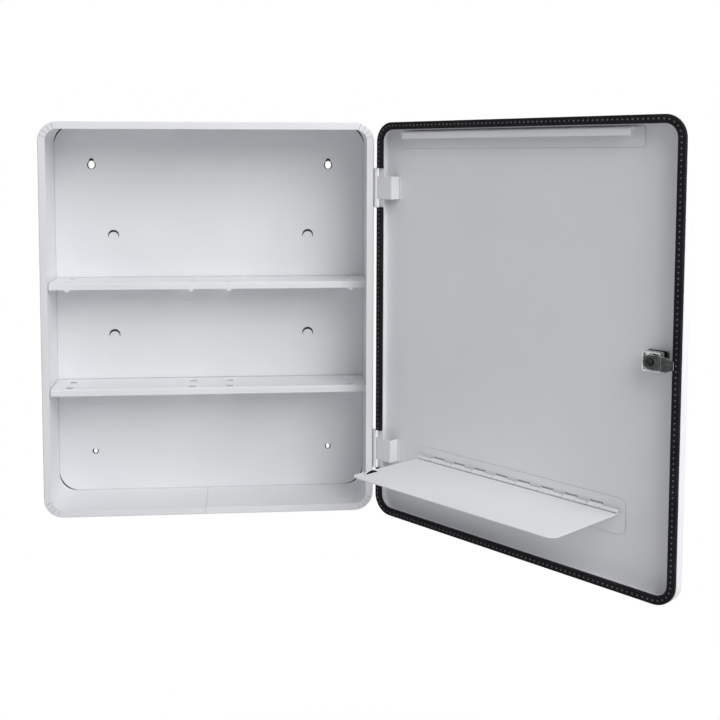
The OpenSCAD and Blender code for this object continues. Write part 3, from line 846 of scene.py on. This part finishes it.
@dataclass
class CamLock:
    """The cam lock: barrel, clip, square nut, plug, cam and screw."""

    shop: Workshop
    place: DoorPlace
    edge: float = 0.3 * MM
    cam_edge: float = 0.65 * MM
    axis_x: float = -172.5 * MM
    cam_out: float = 109.0 * MM
    nut_side: float = 20.0 * MM
    nut_bore: float = 8.1 * MM
    nut_wall: float = 1.5 * MM
    nut_corner: float = 2.0 * MM
    cup_corner: float = 1.0 * MM
    nut_from: float = 118.4 * MM
    nut_to: float = 110.2 * MM
    corner_steps: int = 11

    def outline(self, half: float, corner: float, out: float) -> list[Vector]:
        """Draws a square with round corners about the lock's axis, so far out from the wall."""
        return [Vector((self.axis_x + x, -out, z))
                for x, z in rounded_rectangle(half, half, corner, self.corner_steps)]

    def nut(self) -> None:
        """Makes the square cup nut that holds the barrel on the door."""
        half, cup = self.nut_side / 2, self.nut_side / 2 - self.nut_wall
        floor = self.nut_to + 2 * self.nut_wall
        loops = [self.outline(self.nut_bore, self.nut_bore, self.nut_from),
                 self.outline(half, self.nut_corner, self.nut_from),
                 self.outline(half, self.nut_corner, self.nut_to),
                 self.outline(cup, self.cup_corner, self.nut_to),
                 self.outline(cup, self.cup_corner, floor),
                 self.outline(self.nut_bore, self.nut_bore, floor)]
        matrix, count = self.place.matrix(), len(loops[0])
        corners = [matrix @ point for loop in loops for point in loop]
        faces = []
        for row in range(len(loops)):
            low, high = row * count, (row + 1) % len(loops) * count
            faces += [(low + k, low + (k + 1) % count, high + (k + 1) % count, high + k)
                      for k in range(count)]
        mesh = bpy.data.meshes.new("lock_nut")
        mesh.from_pydata(corners, [], faces)
        mesh.materials.append(self.shop.bright_zinc)
        mesh.materials.append(self.shop.zinc_edge_highlight)
        made = finished_piece("lock_nut", mesh, self.edge, 1)
        self.shop.enter(made, Body.DOOR, Slot.ZINC)

    def build(self) -> None:
        """Dresses the fixed and the turning pieces of the lock, and adds the nut."""
        self.nut()
        zinc = (self.shop.zinc, self.shop.zinc_edge_highlight)
        dress = self.shop.dress
        for node in ("lock_housing", "lock_clip"):
            dress(node, node + "_plated", Body.DOOR, Slot.ZINC, zinc, self.edge)
        dress("lock_cam", "lock_cam_plated", Body.LOCK, Slot.ZINC, zinc, self.cam_edge)
        for node in ("lock_plug", "cam_screw"):
            dress(node, node + "_turned", Body.LOCK, Slot.LOCK_STEEL, (self.shop.lock_steel,),
                  self.edge / 2)


# ---- studio ----


def white_rays(g: Graph) -> Socket:
    """Makes the mask of the rays that see the plain white background.

    Args:
        g: the graph that the mask is made in.

    Returns:
        The mask's socket.
    """
    light = g.add("ShaderNodeLightPath")
    seen = g.math("MAXIMUM", light.outputs["Is Camera Ray"], light.outputs["Is Glossy Ray"])
    return g.math("MAXIMUM", seen, light.outputs["Is Transmission Ray"])


@dataclass(frozen=True)
class SoftLamp:
    """A soft square lamp that points at a place of the object."""

    name: str
    place: Place
    target: Place
    side: float
    watts: float

    def hang(self) -> None:
        """Adds the lamp to the scene."""
        light = bpy.data.lights.new(self.name, "AREA")
        light.size, light.energy = self.side, self.watts
        lamp = placed(self.name, light)
        lamp.location = self.place
        lamp.rotation_mode = "QUATERNION"
        aim = Vector(self.target) - Vector(self.place)
        lamp.rotation_quaternion = aim.to_track_quat("-Z", "Y")


@dataclass
class PaleFloor:
    """The floor, which turns plain white well away from the object."""

    z: float = -1.25
    half: float = 14.0
    colour: Colour = (0.93, 0.93, 0.935)
    centre: tuple[float, float] = (0.2, -0.2)
    white_near: float = 0.45
    fade_from: float = 0.7
    fade_to: float = 1.5

    def build(self) -> None:
        """Lays the floor."""
        mesh = bpy.data.meshes.new("studio_floor")
        mesh.from_pydata([(x * self.half, y * self.half, self.z)
                          for x, y in ((-1, -1), (1, -1), (1, 1), (-1, 1))],
                         [], [(0, 1, 2, 3)])
        s = Surface("pale_floor", {"Base Color": (*self.colour, 1.0), "Roughness": 0.9,
                                   "Specular IOR Level": 0.1})
        g = s.graph
        away = g.add("ShaderNodeVectorMath", {0: s.place, 1: (*self.centre, self.z)},
                     operation="DISTANCE")
        fade = g.add("ShaderNodeMapRange", {"Value": away.outputs["Value"],
                                            "From Min": self.fade_from, "From Max": self.fade_to,
                                            "To Min": self.white_near},
                     interpolation_type="SMOOTHSTEP")
        factor = g.math("MULTIPLY", white_rays(g), fade.outputs[0])
        mixed = g.add("ShaderNodeMixShader", {0: factor, 1: s.shader.outputs[0],
                                              2: s.plain_white()})
        s.show(mixed.outputs[0])
        mesh.materials.append(s.material)
        floor = placed("studio_floor", mesh)


@dataclass(frozen=True)
class PaintedLightSpot:
    """A spot of painted light in the middle of a screw hole: its height and half its width and
    height.
    """

    z: float
    half_w: float
    half_h: float


@dataclass
class PaintedShadePatch:
    """A dark sheet just behind the back panel: painted shade that only the panel's holes and slits
    show.
    """

    half_w: float = 204.8 * MM
    half_h: float = 244.8 * MM
    corner: float = 23.8 * MM
    corner_steps: int = 8
    behind: float = 0.8 * MM
    # Colour of the painted shade that the panel's holes and slits show
    colour: Colour = (0.05, 0.05, 0.052)
    hole_side: float = 156.0 * MM
    spots: tuple[PaintedLightSpot, ...] = (PaintedLightSpot(191.8 * MM, 4.1 * MM, 5.2 * MM),
                                     PaintedLightSpot(-191.0 * MM, 2.4 * MM, 3.3 * MM))

    def painted_light_mask(self, s: Surface) -> Socket:
        """Makes the mask of the painted light in the screw holes' middles, the same on both sides.

        Args:
            s: the gap's surface.

        Returns:
            The mask's socket.
        """
        g = s.graph
        place = g.add("ShaderNodeSeparateXYZ", {0: s.place})
        out = g.math("SUBTRACT", g.math("ABSOLUTE", place.outputs["X"]), self.hole_side)
        masks = []
        for spot in self.spots:
            side = g.math("DIVIDE", out, spot.half_w)
            rise = g.math("SUBTRACT", place.outputs["Z"], spot.z)
            rise = g.math("DIVIDE", rise, spot.half_h)
            away = g.math("ADD", g.math("POWER", side, 2.0), g.math("POWER", rise, 2.0))
            masks.append(g.math("LESS_THAN", away, 1.0))
        return g.math("MAXIMUM", *masks)

    def material(self) -> bpy.types.Material:
        """Builds the material: dark painted shade with the holes' spots of painted light, seen by
        camera rays from the front, clear from behind and for the light.

        Returns:
            The material.
        """
        s = Surface("painted_shade_patch", {"Base Color": (*self.colour, 1.0), "Roughness": 0.95,
                                 "Specular IOR Level": 0.0})
        g = s.graph
        # Painted light: the screw holes' middles glow white to the camera
        bright = g.math("MULTIPLY", self.painted_light_mask(s), white_rays(g))
        seen = g.add("ShaderNodeMixShader", {0: bright, 1: s.shader.outputs[0],
                                             2: s.plain_white()})
        behind = g.add("ShaderNodeNewGeometry").outputs["Backfacing"]
        camera = g.add("ShaderNodeLightPath").outputs["Is Camera Ray"]
        shown = g.math("MULTIPLY", camera, g.math("SUBTRACT", 1.0, behind))
        clear = g.add("ShaderNodeBsdfTransparent")
        mixed = g.add("ShaderNodeMixShader", {0: shown, 1: clear.outputs[0], 2: seen.outputs[0]})
        s.show(mixed.outputs[0])
        return s.material

    def build(self) -> None:
        """Stands the dark painted-shade sheet just behind the back panel."""
        mesh = bpy.data.meshes.new("wall_patch")
        points = [(x, self.behind, z) for x, z in rounded_rectangle(
            self.half_w, self.half_h, self.corner, self.corner_steps)]
        mesh.from_pydata(points, [], [tuple(range(len(points)))])
        mesh.materials.append(self.material())
        patch = placed("wall_patch", mesh)


@dataclass
class Studio:
    """Floor, dark painted-shade sheet, soft lamps, world and the camera."""

    ambient: Colour = (0.31, 0.311, 0.32)
    lamps: tuple[SoftLamp, ...] = (
        SoftLamp("key_lamp", (1.05, -1.9, 1.45), (0.05, -0.1, 0.0), 1.9, 46.0),
        SoftLamp("rim_lamp", (1.9, -0.5, 0.3), (0.35, -0.25, 0.0), 0.9, 4.5))
    image: float = 720.0
    eye: Place = (0.0455, -1.4084, 0.2028)
    yaw: float = 0.0827
    pitch: float = -0.0743
    roll: float = 0.0014
    focal: float = 1052.9
    principal: tuple[float, float] = (332.6, 235.0)
    sensor: float = 36.0
    clip: tuple[float, float] = (0.05, 60.0)

    def build(self) -> None:
        """Sets up the whole studio."""
        bpy.context.scene.view_settings.view_transform = "Standard"
        PaleFloor().build()
        PaintedShadePatch().build()
        self.make_world()
        for lamp in self.lamps:
            lamp.hang()
        self.make_camera()

    def make_world(self) -> None:
        """Makes the pale surroundings, white to the camera and in reflections."""
        world = bpy.data.worlds.new("studio_world")
        world.use_nodes = True
        bpy.context.scene.world = world
        g = Graph(world.node_tree)
        colour = g.blend(white_rays(g), self.ambient, WHITE)
        g.join(colour, g.tree.nodes["Background"].inputs["Color"])

    def make_camera(self) -> None:
        """Sets up the camera that was solved from the photograph's straight edges."""
        lens = bpy.data.cameras.new("photo_camera")
        lens.sensor_width = self.sensor
        lens.lens = self.focal * self.sensor / self.image
        lens.shift_x = 0.5 - self.principal[0] / self.image
        lens.shift_y = self.principal[1] / self.image - 0.5
        lens.clip_start, lens.clip_end = self.clip
        camera = placed("photo_camera", lens)
        heading = Matrix.Rotation(-self.yaw, 4, "Z")
        tilt = Matrix.Rotation(math.pi / 2 + self.pitch, 4, "X")
        camera.matrix_world = (Matrix.Translation(self.eye) @ heading @ tilt
                               @ Matrix.Rotation(self.roll, 4, "Z"))
        bpy.context.scene.camera = camera


def make_workshop(place: DoorPlace) -> Workshop:
    """Builds the shared effects and every finish.

    Args:
        place: where the open door stands.

    Returns:
        The workshop that dresses the pieces.
    """
    effects = Effects()
    lock = tuple(place.matrix() @ Vector((CamLock.axis_x, -CamLock.cam_out, 0.0)))
    finishes: dict[str, Finish] = {
        "white": PowderCoat(handled=lock),
        # The body's coat takes a little less painted shade in its gaps and inner corners
        "body_white": PowderCoat(name="white_body_coat", painted_shade=0.6, handled=lock),
        # The softened edges of the white parts get a lighter, glossier coat: a painted highlight
        # along every edge
        "white_edge_highlight": PowderCoat(name="white_powder_edge_painted_highlight", colour=(0.93, 0.933, 0.94),
                                 shade=(0.90, 0.905, 0.915), gloss_low=0.24, gloss_high=0.32,
                                 dust=0.1, painted_shade=0.3, handled=lock),
        "rubber": Rubber(),
        # The pips get a grey far lighter than the seal's black rubber: a painted highlight on
        # black pips
        "pip": Rubber(name="rubber_pip_painted_highlight", colour=(0.11, 0.11, 0.115), worn=(0.17, 0.17, 0.175),
                      gloss_low=0.4, gloss_high=0.55),
        # The cam, barrel and clip get a near-black zinc: painted shade standing in for dark
        # reflections on the bare metal
        "zinc": BareMetal("zinc_with_painted_shade", colour=(0.075, 0.083, 0.08), stain=(0.04, 0.045, 0.044),
                          gloss_low=0.24, gloss_high=0.42, handled=lock),
        # The lock's softened zinc edges are near white against the dark zinc faces: a painted
        # highlight
        "zinc_edge_highlight": BareMetal("zinc_rim_painted_highlight", colour=(0.86, 0.87, 0.86),
                               stain=(0.68, 0.69, 0.68), gloss_low=0.14, gloss_high=0.24),
        "bright_zinc": BareMetal("bright_zinc", colour=(0.60, 0.61, 0.60),
                                 stain=(0.42, 0.43, 0.42), gloss_low=0.2, gloss_high=0.34,
                                 handled=lock),
        # The plug and cam screw get a near-black steel: painted shade standing in for dark
        # reflections
        "lock_steel": BareMetal("steel_with_painted_shade", colour=(0.035, 0.038, 0.042),
                                stain=(0.02, 0.022, 0.024), gloss_low=0.22, gloss_high=0.36),
        "pin_steel": BareMetal("drawn_steel", colour=(0.62, 0.63, 0.65), stain=(0.5, 0.51, 0.52),
                               gloss_low=0.22, gloss_high=0.34),
    }
    made = {name: finish.material(effects) for name, finish in finishes.items()}
    return Workshop(**made)


def main() -> None:
    """Builds the sub-assemblies and the studio."""
    logging.basicConfig(level=logging.INFO, format="%(name)s: %(message)s")
    place = DoorPlace()
    shop = make_workshop(place)
    for assembly in (CabinetBody(shop), DoorHinges(shop), Door(shop, place), FoldTray(shop),
                     CamLock(shop, place)):
        assembly.build()
    Studio().build()


if __name__ == "__main__":
    main()
